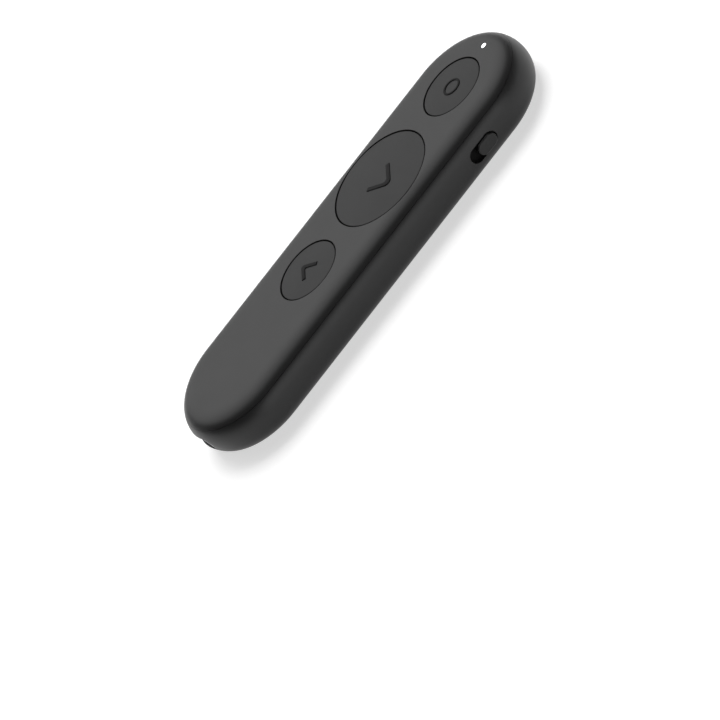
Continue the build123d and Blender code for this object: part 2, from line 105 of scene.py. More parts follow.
# Edges that bend more than this stay sharp, and flared openings turn this far towards the face.
SMOOTH_ANGLE = math.radians(32.0)
FLARE_TURN = math.radians(70.0)

# Points nearer than this are one point: in a skin that was cut, and between the loose triangles of a solid.
CUT_WELD = 0.0005 * MM
SOLID_WELD = 0.002 * MM

# Least length that anything is divided by.
TINY = 1e-9

# Scales of the slow drift of tone and roughness in a finish, and of the tone of the lit pipe, per metre.
TONE_SCALE = 90.0
ROUGHNESS_SCALE = 140.0
LIT_SCALE = 900.0

# Direction of each pale panel, and the angles in degrees within which it is full and at which it is gone.
LEFT_PANEL = (-0.60, 0.05, 0.80), 30.0, 46.0
RIGHT_PANEL = (0.98, 0.05, 0.10), 20.0, 36.0


def length(name, description, metres):
    """Property for a length."""
    return FloatProperty(name=name, description=description, default=metres, unit="LENGTH", precision=6)


def angle(name, description, degrees):
    """Property for an angle, given in degrees."""
    return FloatProperty(name=name, description=description, default=math.radians(degrees), subtype="ANGLE")


def share(name, description, default):
    """Property for a plain factor."""
    return FloatProperty(name=name, description=description, default=default, min=0.0)


def colour(name, description, *rgb):
    """Property for a scene linear colour."""
    return FloatVectorProperty(
        name=name, description=description, default=rgb, size=3, min=0.0, max=1.0, subtype="COLOR"
    )


class RemoteCaseSizes(PropertyGroup):
    """Sizes of the front cover and the rear housing."""

    half_width: length("Half width", "Half the width of the body", TUB_HIGH.x)
    half_length: length("Half length", "Half the length of the body", TUB_HIGH.y)
    thickness: length("Thickness", "Level of the front face", COVER_HIGH.z)
    seam_level: length("Seam level", "Level where cover and housing meet", TUB_HIGH.z)
    lip_bottom: length("Lip bottom", "Lower end of the lip of the cover", COVER_LOW.z)
    face_half_width: length("Face half width", "Half width of the flat front and back", 9.5 * MM)
    face_power: share("Face power", "How slowly the rounded edge leaves the flat faces", 3.476)
    flank_power: share("Flank power", "How slowly the rounded edge leaves the crown of the flank", 2.0)
    flank_wall: length("Flank wall", "Wall of the housing at the flank", 2.4 * MM)
    floor_wall: length("Floor wall", "Wall of the housing at the back", 1.5 * MM)
    cover_wall: length("Cover wall", "Wall of the cover at the front", 1.5 * MM)
    cavity_corner: length("Cavity corner", "Radius inside the housing at its floor", 1.2 * MM)
    seam_groove: length("Seam groove", "Height of the open seam line", 0.08 * MM)
    rim_land: length("Rim land", "Width of the rim that the cover lies on", 0.7 * MM)
    lip_wall: length("Lip wall", "Wall of the lip of the cover", 0.8 * MM)
    lip_gap: length("Lip gap", "Gap between lip and housing", 0.1 * MM)
    hole_round: length("Hole rounding", "Rounding of the button holes at the front", 0.12 * MM)
    light_gap: length("Light gap", "Gap round the light pipe", 0.05 * MM)
    slot_round: length("Slot rounding", "Rounding of the slider slot at the flank", 0.35 * MM)
    port_width: length("Port width", "Width of the shell of the port", 8.94 * MM)
    port_height: length("Port height", "Height of the shell of the port", 3.16 * MM)
    port_gap: length("Port gap", "Gap round the shell of the port", 0.1 * MM)
    disc_gap: length("Disc gap", "Gap round the disc in the back", 0.05 * MM)
    boss_radius: length("Boss radius", "Radius of the screw bosses", 1.7 * MM)
    boss_bore: length("Boss bore", "Radius of the screw holes in the bosses", 0.85 * MM)
    boss_side: length("Boss side", "Upper screw bosses from the middle line", 8.5 * MM)
    screw_head: length("Screw head", "Radius of the screw heads", 1.4 * MM)
    post_radius: length("Post radius", "Radius of the board posts beside the cell", 1.2 * MM)
    post_gap: length("Post gap", "Gap between cell and posts", 0.4 * MM)
    post_inset: length("Post inset", "Posts from the upper end of the cell", 2.0 * MM)
    hook_length: length("Hook length", "Length of the snap hooks on the lip", 5.0 * MM)
    hook_height: length("Hook height", "Height of the snap hooks", 0.5 * MM)
    hook_reach: length("Hook reach", "How far the snap hooks stand out", 0.35 * MM)
    hook_rise: length("Hook rise", "Snap hooks above the end of the lip", 0.15 * MM)
    hook_gap: length("Hook gap", "Gap round the snap hooks", 0.1 * MM)


class RemoteButtonSizes(PropertyGroup):
    """Sizes of the three round buttons and their raised symbols."""

    gap: length("Gap", "Gap between button and hole", 0.2 * MM)
    sunk: length("Sunk", "Button tops below the front face", 0.1 * MM)
    flange_reach: length("Flange reach", "How far the flange goes under the cover", 0.45 * MM)
    flange: length("Flange", "Thickness of the flange", 0.6 * MM)
    flange_gap: length("Flange gap", "Gap between flange and cover", 0.1 * MM)
    edge_radius: length("Edge radius", "Rounding of the button edge", 0.2 * MM)
    skin: length("Skin", "Thickness of the button top", 1.2 * MM)
    wall: length("Wall", "Wall of the button", 1.2 * MM)
    post_radius: length("Post radius", "Radius of the post that meets the switch", 1.5 * MM)
    key_radius: length("Key radius", "Radius of the key that stops a button turning", 0.5 * MM)
    key_gap: length("Key gap", "Gap round the key", 0.15 * MM)
    symbol_height: length("Symbol height", "Height of the raised symbols", 0.15 * MM)
    symbol_round: length("Symbol rounding", "Rounding of the symbols at their top", 0.08 * MM)
    ring_radius: length("Ring radius", "Middle radius of the ring symbol", 1.9 * MM)
    ring_line: length("Ring line", "Line width of the ring symbol", 0.5 * MM)
    next_tip: length("Next tip", "Reach of the large chevron to its tip", 4.02 * MM)
    next_tail: length("Next tail", "Reach of the large chevron to its ends", 1.1 * MM)
    next_rise: length("Next rise", "Half height of the large chevron", 3.32 * MM)
    next_line: length("Next line", "Line width of the large chevron", 1.0 * MM)
    next_outer_bend: length("Next outer bend", "Outer rounding of the large chevron", 1.2 * MM)
    next_inner_bend: length("Next inner bend", "Inner rounding of the large chevron", 0.75 * MM)
    previous_tip: length("Previous tip", "Reach of the small chevron to its tip", 2.35 * MM)
    previous_tail: length("Previous tail", "Reach of the small chevron to its ends", 1.07 * MM)
    previous_rise: length("Previous rise", "Half height of the small chevron", 2.13 * MM)
    previous_line: length("Previous line", "Line width of the small chevron", 0.9 * MM)
    previous_outer_bend: length("Previous outer bend", "Outer rounding of the small chevron", 0.68 * MM)
    previous_inner_bend: length("Previous inner bend", "Inner rounding of the small chevron", 0.36 * MM)


class RemoteTrimSizes(PropertyGroup):
    """Sizes of the slider, its slot, the light pipe, the disc in the back and the snap domes."""

    slot_length: length("Slot length", "Length of the slider slot", 7.36 * MM)
    slot_height: length("Slot height", "Height of the slider slot", 3.4 * MM)
    slot_wall: length("Slot wall", "Wall that is left round the slot", 1.3 * MM)
    slider_end_gap: length("Slider end gap", "Gap at the end of the slot", 0.15 * MM)
    slider_side_gap: length("Slider side gap", "Gap along the slot", 0.2 * MM)
    slider_round: length("Slider rounding", "Rounding of the knob", 0.4 * MM)
    slider_flange: length("Slider flange", "Thickness of the plate behind the flank", 0.9 * MM)
    slider_gap: length("Slider gap", "Gap between plate and flank", 0.1 * MM)
    fork_gap: length("Fork gap", "Half width between the prongs of the fork", 0.75 * MM)
    fork_wall: length("Fork wall", "Width of a prong", 0.8 * MM)
    fork_height: length("Fork height", "Height of a prong", 0.9 * MM)
    pipe_radius: length("Pipe radius", "Radius of the light pipe at the front", 0.6 * MM)
    pipe_flange: length("Pipe flange", "Thickness of the flange that holds the light pipe", 0.5 * MM)
    pipe_round: length("Pipe rounding", "Rounding of the light pipe at the front", 0.1 * MM)
    disc_round: length("Disc rounding", "Rounding of the disc edge", 0.15 * MM)
    dome_wall: length("Dome wall", "Thickness of the snap domes", 0.08 * MM)
    dome_keep: share("Dome keep", "Share of its height that a dome keeps under a pressed button", 0.30)


class RemoteFinish(PropertyGroup):
    """Colours and gloss of the visible pieces."""

    shell: colour("Shell", "Satin black of cover and housing", 0.0165, 0.0165, 0.0167)
    button: colour("Button", "Satin black of the buttons", 0.0115, 0.0115, 0.0117)
    symbol: colour("Symbol", "Dull black of the raised symbols", 0.0100, 0.0100, 0.0101)
    slider: colour("Slider", "Satin black of the slider", 0.0095, 0.0095, 0.0097)
    disc: colour("Disc", "Polished black of the disc", 0.0110, 0.0118, 0.0130)
    lit: colour("Light", "Colour of the lit pipe", 0.95, 0.97, 1.0)
    mask: colour("Solder mask", "Green of the boards", 0.012, 0.075, 0.032)
    steel: colour("Steel", "Plated steel", 0.56, 0.56, 0.57)
    gold: colour("Gold", "Gold flash of the contacts", 0.80, 0.56, 0.22)
    shell_roughness: share("Shell roughness", "Roughness of cover and housing", 0.40)
    button_roughness: share("Button roughness", "Roughness of the buttons", 0.42)
    symbol_roughness: share("Symbol roughness", "Roughness of the raised symbols", 0.55)
    slider_roughness: share("Slider roughness", "Roughness of the slider", 0.42)
    grain: share("Grain", "Depth of the moulded grain", 0.10)
    glow: share("Glow", "Strength of the lit pipe", 1.4)


class RemoteStage(PropertyGroup):
    """Camera, lamp and surroundings."""

    azimuth: angle("Azimuth", "Turn of the camera round the remote", 85.5235)
    elevation: angle("Elevation", "Height of the camera above the floor", 31.0965)
    roll: angle("Roll", "Turn of the camera about its own axis", 49.7546)
    distance: length("Distance", "Camera to the point it looks at", 805.37 * MM)
    focal: FloatProperty(
        name="Focal length", description="Lens on a 36 mm sensor", default=198.2075, unit="CAMERA"
    )
    aim: FloatVectorProperty(
        name="Aim",
        description="Point that the camera looks at",
        default=(6.69554 * MM, -19.06269 * MM, -8.28381 * MM),
        size=3,
        subtype="TRANSLATION",
        precision=6,
    )
    floor_shade: share("Floor shade", "How light the floor is", 0.62)
    floor_lift: share("Floor lift", "White that the floor adds in the picture and in reflections", 0.60)
    key: share("Key", "Radiance of the large lamp over the left flank", 6.0)
    air: share("Surroundings", "Light of the surroundings on matt surfaces", 0.45)
    left: share("Left panel", "Brightness of the pale surroundings at the left", 1.38)
    right: share("Right panel", "Brightness of the pale surroundings at the right", 1.92)
    dark: share("Dark surroundings", "Brightness of the surroundings elsewhere", 0.08)


class RemoteSettings(PropertyGroup):
    """All settings of the remote."""

    case: PointerProperty(type=RemoteCaseSizes)
    buttons: PointerProperty(type=RemoteButtonSizes)
    trim: PointerProperty(type=RemoteTrimSizes)
    finish: PointerProperty(type=RemoteFinish)
    stage: PointerProperty(type=RemoteStage)


def new_object(name, data):
    """Object at the origin in the scene's collection."""
    made = bpy.data.objects.new(name, data)
    bpy.context.scene.collection.objects.link(made)
    return made


class Skin:
    """Gathers the rings, walls and lids of one or more closed surfaces."""

    def __init__(self):
        self.points = []
        self.faces = []
        self.count = 0

    def rings(self, grid):
        """Adds a stack of closed rings, an array of rows by points by 3, and returns its points' numbers."""
        rows, columns = grid.shape[:2]
        numbers = self.count + np.arange(rows * columns).reshape(rows, columns)
        self.points.append(grid.reshape(-1, 3))
        self.count += rows * columns
        return numbers

    def wall(self, numbers):
        """Joins each ring to the next with quads. The outside is on the right of a ring that is followed
        counter-clockwise while the next ring lies above it."""
        low = numbers[:-1]
        high = numbers[1:]
        quads = np.stack([low, np.roll(low, -1, 1), np.roll(high, -1, 1), high], -1)
        self.faces.extend(quads.reshape(-1, 4).tolist())

    def lid(self, ring, up):
        """Closes a flat ring with one face that looks along its axis, or back."""
        self.faces.append((ring if up else ring[::-1]).tolist())

    def plate(self, rim, hole):
        """Fills a level ring that has another ring as its hole with triangles that look up."""
        flat = np.concatenate(self.points)[:, :2]
        numbers = np.concatenate([rim, hole])
        corners = np.array(tessellate_polygon([flat[rim].tolist(), flat[hole].tolist()]))
        a, b, c = flat[numbers[corners]].transpose(1, 0, 2)
        area = (b[:, 0] - a[:, 0]) * (c[:, 1] - a[:, 1]) - (b[:, 1] - a[:, 1]) * (c[:, 0] - a[:, 0])
        corners[area < 0] = corners[area < 0][:, ::-1]
        self.faces.extend(numbers[corners].tolist())

    def solid(self, grid):
        """Adds a stack of rings that is closed by a lid at each end."""
        numbers = self.rings(grid)
        self.wall(numbers)
        self.lid(numbers[0], False)
        self.lid(numbers[-1], True)

    def rib(self, grid, rim):
        """Closes a level ring with a plate and a raised rib that stands on it."""
        numbers = self.rings(grid)
        self.wall(numbers)
        self.plate(rim, numbers[0])
        self.lid(numbers[-1], True)

    def rod(self, radius, low, high, y, count, x=0.0):
        """Adds an upright rod between two levels."""
        self.solid(round_rings([radius, radius], [low, high], y, count, x))

    def block(self, low, high):
        """Adds a box between two corners."""
        x = np.array([high[0], high[0], low[0], low[0]])
        y = np.array([low[1], high[1], high[1], low[1]])
        bottom = np.stack([x, y, np.full(4, low[2])], -1)
        top = np.stack([x, y, np.full(4, high[2])], -1)
        self.solid(np.stack([bottom, top]))

    def mesh(self, name):
        """The gathered surface as a mesh."""
        made = bpy.data.meshes.new(name)
        made.from_pydata(np.concatenate(self.points).tolist(), [], self.faces)
        made.validate()
        return made

    def piece(self, name):
        """The gathered surface as an object."""
        return new_object(name, self.mesh(name))


def round_rings(radii, levels, y, count, x=0.0):
    """Rings of a turned piece: point = (x + r cos a, y + r sin a, z)."""
    turn = np.linspace(0.0, 2.0 * math.pi, count, endpoint=False)
    radii = np.asarray(radii)[:, None]
    levels = np.asarray(levels)[:, None] + np.zeros(count)
    return np.stack([x + radii * np.cos(turn), y + radii * np.sin(turn), levels], -1)


def bar_rings(case, half_widths, levels, sides=12, ends=72):
    """Rings of the body's outline: up one flank, round the upper end, down the other flank, round the lower
    end. Point = (h cos a, s + h sin a, z), with s the place along the spine and a the outward direction."""
    spine = case.half_length - case.half_width
    straight = np.linspace(-1.0, 1.0, sides + 1)[1:-1]
    half_turn = np.linspace(0.0, math.pi, ends + 1)
    along = spine * np.concatenate([straight, np.ones(ends + 1), -straight, -np.ones(ends + 1)])
    turn = np.concatenate([np.zeros(sides - 1), half_turn, np.full(sides - 1, math.pi), math.pi + half_turn])
    wide = np.asarray(half_widths)[:, None]
    levels = np.asarray(levels)[:, None] + np.zeros(len(turn))
    return np.stack([wide * np.cos(turn), along + wide * np.sin(turn), levels], -1)


def slot_rings(half_lengths, half_heights, depths, count=24):
    """Rings of a slot with round ends: point = (s c + r cos a, r sin a, d), with s the side and c the middle
    of each round end, as an array of rows by points by length, height and depth."""
    half_turn = np.linspace(-math.pi / 2, math.pi / 2, count + 1)
    turn = np.concatenate([half_turn, half_turn + math.pi])
    side = np.concatenate([np.ones(count + 1), -np.ones(count + 1)])
    radius = np.asarray(half_heights)[:, None]
    middle = np.asarray(half_lengths)[:, None] - radius
    depth = np.asarray(depths)[:, None] + np.zeros(len(turn))
    return np.stack([side * middle + radius * np.cos(turn), radius * np.sin(turn), depth], -1)


def facing_x(rings, y, z):
    """Turns slot rings so that their length runs along Y, their height along Z and their depth along X."""
    return np.stack([rings[..., 2], y + rings[..., 0], z + rings[..., 1]], -1)


def facing_back_y(rings, z):
    """Turns slot rings so that their length runs along X, their height along Z and their depth along -Y."""
    return np.stack([rings[..., 0], -rings[..., 2], z + rings[..., 1]], -1)


def edge_curve(case, turn):
    """Rounded edge from a flat face (turn 0) to the crown of the flank (turn of a quarter), a superellipse:
    (reach / width)^m + (height / half thickness)^n = 1. Returns the half width and the height from the mid
    level."""
    width = case.half_width - case.face_half_width
    half_width = case.face_half_width + width * np.sin(turn) ** (2.0 / case.face_power)
    return half_width, case.thickness / 2 * np.cos(turn) ** (2.0 / case.flank_power)


def edge_turn_at(case, level):
    """Turn of the rounded edge at a level over the mid level."""
    height = (level - case.thickness / 2) / (case.thickness / 2)
    return math.acos(height ** (case.flank_power / 2.0))


def eased(last, count, power=1.6):
    """Turns from 0 to a last one, closer together near the flat face where the rounded edge starts."""
    return last * np.linspace(0.0, 1.0, count) ** power


def rounding(radius, count, last=math.pi / 2):
    """Arc of a rounded edge: how far each of its points has come in, and how far it still is from the end."""
    arc = np.linspace(0.0, last, count + 1)
    return radius * (1.0 - np.cos(arc)), radius * (1.0 - np.sin(arc))


def flared(inner_end, face, radius, beyond):
    """Growth and depth of a cutter from its inner end to beyond a face, flared there by a rounding."""
    grow, short = rounding(radius, count=5, last=FLARE_TURN)
    depth = face - short
    grow = np.concatenate([[0.0], grow, [grow[-1] + beyond * math.tan(FLARE_TURN)]])
    return grow, np.concatenate([[inner_end], depth, [depth[-1] + beyond]])


Chevron = namedtuple("Chevron", "tip tail rise line outer_bend inner_bend")


def chevron_ring(symbol, grow, count=17):
    """Outline of a chevron that points along +X: its arms are lines, and its bend is an outer and an inner
    arc, each tangent to both arms. The outline is moved out by a growth on all sides."""
    lean = math.atan2(symbol.rise, symbol.tip + symbol.tail)
    half_line = symbol.line / 2 + grow
    outer = symbol.outer_bend + grow
    inner = symbol.inner_bend - grow
    sweep = np.linspace(lean - math.pi / 2, math.pi / 2 - lean, count)
    mirror = np.array([1.0, -1.0])
    across = half_line * np.array([math.sin(lean), math.cos(lean)])
    upper = np.array([-symbol.tail, symbol.rise]) + grow * np.array([-math.cos(lean), math.sin(lean)])
    lower = upper * mirror
    across_low = across * mirror
    bow = np.stack([np.cos(sweep), np.sin(sweep)], -1)
    outer_middle = np.array([symbol.tip + (half_line - outer) / math.sin(lean), 0.0])
    inner_middle = np.array([symbol.tip - (half_line + inner) / math.sin(lean), 0.0])
    outside = np.concatenate([[lower + across_low], outer_middle + outer * bow, [upper + across]])
    inside = np.concatenate([[upper - across], inner_middle + inner * bow[::-1], [lower - across_low]])
    return np.concatenate([outside, inside])


def cut(piece, *skins):
    """Takes the closed surfaces of the skins away from a piece and joins the points that then coincide."""
    cutters = []
    for number, skin in enumerate(skins):
        cutter = skin.piece(f"{piece.name}_cutter_{number}")
        cutters.append(cutter)
        boolean = piece.modifiers.new(cutter.name, "BOOLEAN")
        boolean.operation = "DIFFERENCE"
        boolean.solver = "EXACT"
        boolean.object = cutter
    bpy.context.view_layer.update()
    graph = bpy.context.evaluated_depsgraph_get()
    whole = piece.data
    piece.data = bpy.data.meshes.new_from_object(piece.evaluated_get(graph))
    piece.data.name = piece.name
    piece.modifiers.clear()
    bpy.data.meshes.remove(whole)
    joined = bmesh.new()
    joined.from_mesh(piece.data)
    bmesh.ops.remove_doubles(joined, verts=joined.verts, dist=CUT_WELD)
    bmesh.ops.dissolve_degenerate(joined, edges=joined.edges, dist=CUT_WELD)
    joined.to_mesh(piece.data)
    joined.free()
    for cutter in cutters:
        spent = cutter.data
        bpy.data.objects.remove(cutter)
        bpy.data.meshes.remove(spent)


def add_skin(piece, skin):
    """Adds more closed surfaces to a piece."""
    extra = skin.mesh(piece.name + "_extra")
    joined = bmesh.new()
    joined.from_mesh(piece.data)
    joined.from_mesh(extra)
    joined.to_mesh(piece.data)
    joined.free()
    bpy.data.meshes.remove(extra)


def read(items, name, width=1, kind=float):
    """One value of all the faces, corners or points of a mesh as an array, in rows where it has a width."""
    values = np.empty(len(items) * width, kind)
    items.foreach_get(name, values)
    return values.reshape(-1, width) if width > 1 else values


def shade(mesh, upright=0.999999):
    """Smooth shading with edges kept sharp over an angle, and level faces kept flat."""
    facing = read(mesh.polygons, "normal", 3)
    mesh.polygons.foreach_set("use_smooth", np.abs(facing[:, 2]) < upright)
    mesh.set_sharp_from_angle(angle=SMOOTH_ANGLE)
    mesh.update()


def skin_normals(mesh, case, off_skin=0.005, same_way=0.9):
    """Gives the outer skin of the body its exact normals, and leaves the other faces as they are shaded. They
    are the gradient of ((r - f) / w)^m + |h / t|^n, which is 1 on the skin, with r the distance from the
    spine and h the height from the mid level. A face is on the skin where its corners fit and it looks the
    same way."""
    points = read(mesh.vertices, "co", 3)
    spine = case.half_length - case.half_width
    out = points[:, :2].copy()
    out[:, 1] -= np.clip(points[:, 1], -spine, spine)
    reach = np.maximum(np.linalg.norm(out, axis=1), TINY)
    width = case.half_width - case.face_half_width
    half = case.thickness / 2
    wide = np.clip((reach - case.face_half_width) / width, 0.0, None)
    tall = (points[:, 2] - half) / half
    level = wide ** case.face_power + np.abs(tall) ** case.flank_power
    across = case.face_power * wide ** (case.face_power - 1.0) / width
    up = case.flank_power * np.abs(tall) ** (case.flank_power - 1.0) * np.sign(tall) / half
    exact = np.concatenate([out * (across / reach)[:, None], up[:, None]], 1)
    exact /= np.maximum(np.linalg.norm(exact, axis=1), TINY)[:, None]
    corners = read(mesh.loops, "vertex_index", kind=np.int32)
    starts = read(mesh.polygons, "loop_start", kind=np.int32)
    totals = read(mesh.polygons, "loop_total", kind=np.int32)
    facing = read(mesh.polygons, "normal", 3)
    smooth = read(mesh.polygons, "use_smooth", kind=bool)
    agree = np.sum(np.repeat(facing, totals, axis=0) * exact[corners], axis=1)
    good = (np.abs(level[corners] - 1.0) < off_skin) & (agree > same_way)
    outer = smooth & np.logical_and.reduceat(good, starts)
    kept = np.repeat(outer, totals)[:, None] * exact[corners]
    mesh.normals_split_custom_set(kept.tolist())


def second_finish(mesh, faces):
    """Gives the faces of a mask the second material of a mesh."""
    mesh.polygons.foreach_set("material_index", faces.astype(np.int32))


def dress(piece, body, slot, node, *materials):
    """Finishes a new piece: shading, materials, the body it moves with and the node it replaces. The slot is not
    used.
    """
    shade(piece.data)
    for material in materials:
        piece.data.materials.append(material)
    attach(piece, body)
    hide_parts(node)


def merged_smooth_group():
    """Geometry nodes that join the loose triangles of a solid and shade its curved faces smooth."""
    name = "merged_smooth"
    if name in bpy.data.node_groups:
        return bpy.data.node_groups[name]
    group = bpy.data.node_groups.new(name, "GeometryNodeTree")
    group.interface.new_socket("Geometry", in_out="INPUT", socket_type="NodeSocketGeometry")
    group.interface.new_socket("Geometry", in_out="OUTPUT", socket_type="NodeSocketGeometry")
    nodes = group.nodes
    merge = nodes.new("GeometryNodeMergeByDistance")
    merge.inputs["Distance"].default_value = SOLID_WELD
    smooth = nodes.new("GeometryNodeSetShadeSmooth")
    sharp = nodes.new("GeometryNodeSetShadeSmooth")
    sharp.domain = "EDGE"
    bend = nodes.new("GeometryNodeInputMeshEdgeAngle")
    soft = nodes.new("FunctionNodeCompare")
    soft.data_type = "FLOAT"
    soft.operation = "LESS_THAN"
    soft.inputs["B"].default_value = SMOOTH_ANGLE
    group.links.new(bend.outputs["Unsigned Angle"], soft.inputs["A"])
    group.links.new(soft.outputs["Result"], sharp.inputs["Shade Smooth"])
    chain = [nodes.new("NodeGroupInput"), merge, smooth, sharp, nodes.new("NodeGroupOutput")]
    for first, second in zip(chain, chain[1:]):
        group.links.new(first.outputs["Geometry"], second.inputs["Geometry"])
    return group


def shader_group(name, inputs, outputs):
    """Shader group with named sockets, and its two end nodes, or None for them if it is made already."""
    if name in bpy.data.node_groups:
        return bpy.data.node_groups[name], None
    group = bpy.data.node_groups.new(name, "ShaderNodeTree")
    for title, kind in inputs.items():
        group.interface.new_socket(title, in_out="INPUT", socket_type="NodeSocket" + kind)
    for title, kind in outputs.items():
        group.interface.new_socket(title, in_out="OUTPUT", socket_type="NodeSocket" + kind)
    return group, (group.nodes.new("NodeGroupInput").outputs, group.nodes.new("NodeGroupOutput").inputs)


def noise(tree, vector, scale, detail):
    """Noise texture at a place and a scale that are sockets."""
    node = tree.nodes.new("ShaderNodeTexNoise")
    node.inputs["Detail"].default_value = detail
    tree.links.new(vector, node.inputs["Vector"])
    tree.links.new(scale, node.inputs["Scale"])
    return node.outputs["Fac"]


def math_node(tree, operation, first, second):
    """Math node on two sockets or numbers."""
    node = tree.nodes.new("ShaderNodeMath")
    node.operation = operation
    for socket, value in zip(node.inputs, (first, second)):
        if isinstance(value, float):
            socket.default_value = value
        else:
            tree.links.new(value, socket)
    return node.outputs["Value"]


def moulded_grain_group():
    """Grain of a moulded or fired surface: a fine height, and a roughness that drifts about a middle one."""
    group, ends = shader_group(
        "moulded_grain",
        {
            "Vector": "Vector",
            "Grain Scale": "Float",
            "Drift Scale": "Float",
            "Roughness": "Float",
            "Spread": "Float",
        },
        {"Height": "Float", "Roughness": "Float"},
    )
    if ends is None:
        return group
    start, end = ends
    fine = noise(group, start["Vector"], start["Grain Scale"], detail=2.0)
    slow = noise(group, start["Vector"], start["Drift Scale"], detail=3.0)
    centred = math_node(group, "SUBTRACT", math_node(group, "ADD", fine, slow), 1.0)
    moved = math_node(group, "MULTIPLY", centred, start["Spread"])
    group.links.new(fine, end["Height"])
    group.links.new(math_node(group, "ADD", moved, start["Roughness"]), end["Roughness"])
    return group


def tone_drift_group():
    """Colour that drifts slowly between two tones."""
    group, ends = shader_group(
        "tone_drift",
        {"Vector": "Vector", "Scale": "Float", "First": "Color", "Second": "Color"},
        {"Color": "Color"},
    )
    if ends is None:
        return group
    start, end = ends
    mix = group.nodes.new("ShaderNodeMix")
    mix.data_type = "RGBA"
    drift = noise(group, start["Vector"], start["Scale"], detail=3.0)
    group.links.new(drift, mix.inputs["Factor"])
    # The seventh and eighth inputs and the third output of this node are its colours.
    group.links.new(start["First"], mix.inputs[6])
    group.links.new(start["Second"], mix.inputs[7])
    group.links.new(mix.outputs[2], end["Color"])
    return group


def place_group(tree, group, vector, values):
    """Puts a group into a material with its own values."""
    node = tree.nodes.new("ShaderNodeGroup")
    node.node_tree = group
    tree.links.new(vector, node.inputs["Vector"])
    for title, value in values.items():
        node.inputs[title].default_value = value
    return node


def finish_material(name, tone, contrast, roughness, spread, grain, depth, fixed):
    """Procedural material: a tone that drifts by a contrast, a roughness that drifts by a spread, and a fine
    grain. Grain is its size and depth the height of its bumps in metres; fixed are plain values of other
    sockets of the shader."""
    if name in bpy.data.materials:
        return bpy.data.materials[name]
    material = bpy.data.materials.new(name)
    material.use_nodes = True
    tree = material.node_tree
    shader = tree.nodes["Principled BSDF"]
    place = tree.nodes.new("ShaderNodeTexCoord").outputs["Object"]
    tone = np.array(tone)
    drift = place_group(tree, tone_drift_group(), place, {
        "Scale": TONE_SCALE,
        "First": (*np.clip(tone * (1.0 - contrast), 0.0, 1.0), 1.0),
        "Second": (*np.clip(tone * (1.0 + contrast), 0.0, 1.0), 1.0),
    })
    surface = place_group(tree, moulded_grain_group(), place, {
        "Grain Scale": 1.0 / grain,
        "Drift Scale": ROUGHNESS_SCALE,
        "Roughness": roughness,
        "Spread": spread,
    })
    bump = tree.nodes.new("ShaderNodeBump")
    bump.inputs["Strength"].default_value = 1.0
    bump.inputs["Distance"].default_value = depth
    tree.links.new(drift.outputs["Color"], shader.inputs["Base Color"])
    tree.links.new(surface.outputs["Roughness"], shader.inputs["Roughness"])
    tree.links.new(surface.outputs["Height"], bump.inputs["Height"])
    tree.links.new(bump.outputs["Normal"], shader.inputs["Normal"])
    for title, value in fixed.items():
        shader.inputs[title].default_value = value
    return material


def satin_material(finish, part):
    """Satin black moulded plastic of the shell, the buttons, their duller symbols or the slider."""
    name, roughness, specular = {
        "shell": ("satin_shell", finish.shell_roughness, 0.38),
        "button": ("satin_button", finish.button_roughness, 0.26),
        "symbol": ("dull_symbol", finish.symbol_roughness, 0.11),
        "slider": ("satin_slider", finish.slider_roughness, 0.36),
    }[part]
    return finish_material(
        name,
        getattr(finish, part),
        contrast=0.08,
        roughness=roughness,
        spread=0.05,
        grain=0.16 * MM,
        depth=0.012 * MM * finish.grain,
        fixed={"Specular IOR Level": specular},
    )


def disc_material(finish):
    """Polished black of the disc, with a clear coat."""
    return finish_material(
        "polished_disc",
        finish.disc,
        contrast=0.06,
        roughness=0.10,
        spread=0.03,
        grain=0.5 * MM,
        depth=0.0003 * MM,
        fixed={"Coat Weight": 0.6, "Coat Roughness": 0.03},
    )


def lit_material(finish):
    """Frosted end of the light pipe, lit from below."""
    material = finish_material(
        "lit_pipe",
        (0.85, 0.86, 0.88),
        contrast=0.03,
        roughness=0.30,
        spread=0.05,
        grain=0.1 * MM,
        depth=0.001 * MM,
        fixed={},
    )
    tree = material.node_tree
    shader = tree.nodes["Principled BSDF"]
    place = next(node for node in tree.nodes if node.type == "TEX_COORD").outputs["Object"]
    glow = place_group(tree, tone_drift_group(), place, {
        "Scale": LIT_SCALE,
        "First": (*finish.lit, 1.0),
        "Second": (1.0, 1.0, 1.0, 1.0),
    })
    tree.links.new(glow.outputs["Color"], shader.inputs["Emission Color"])
    shader.inputs["Emission Strength"].default_value = finish.glow
    return material


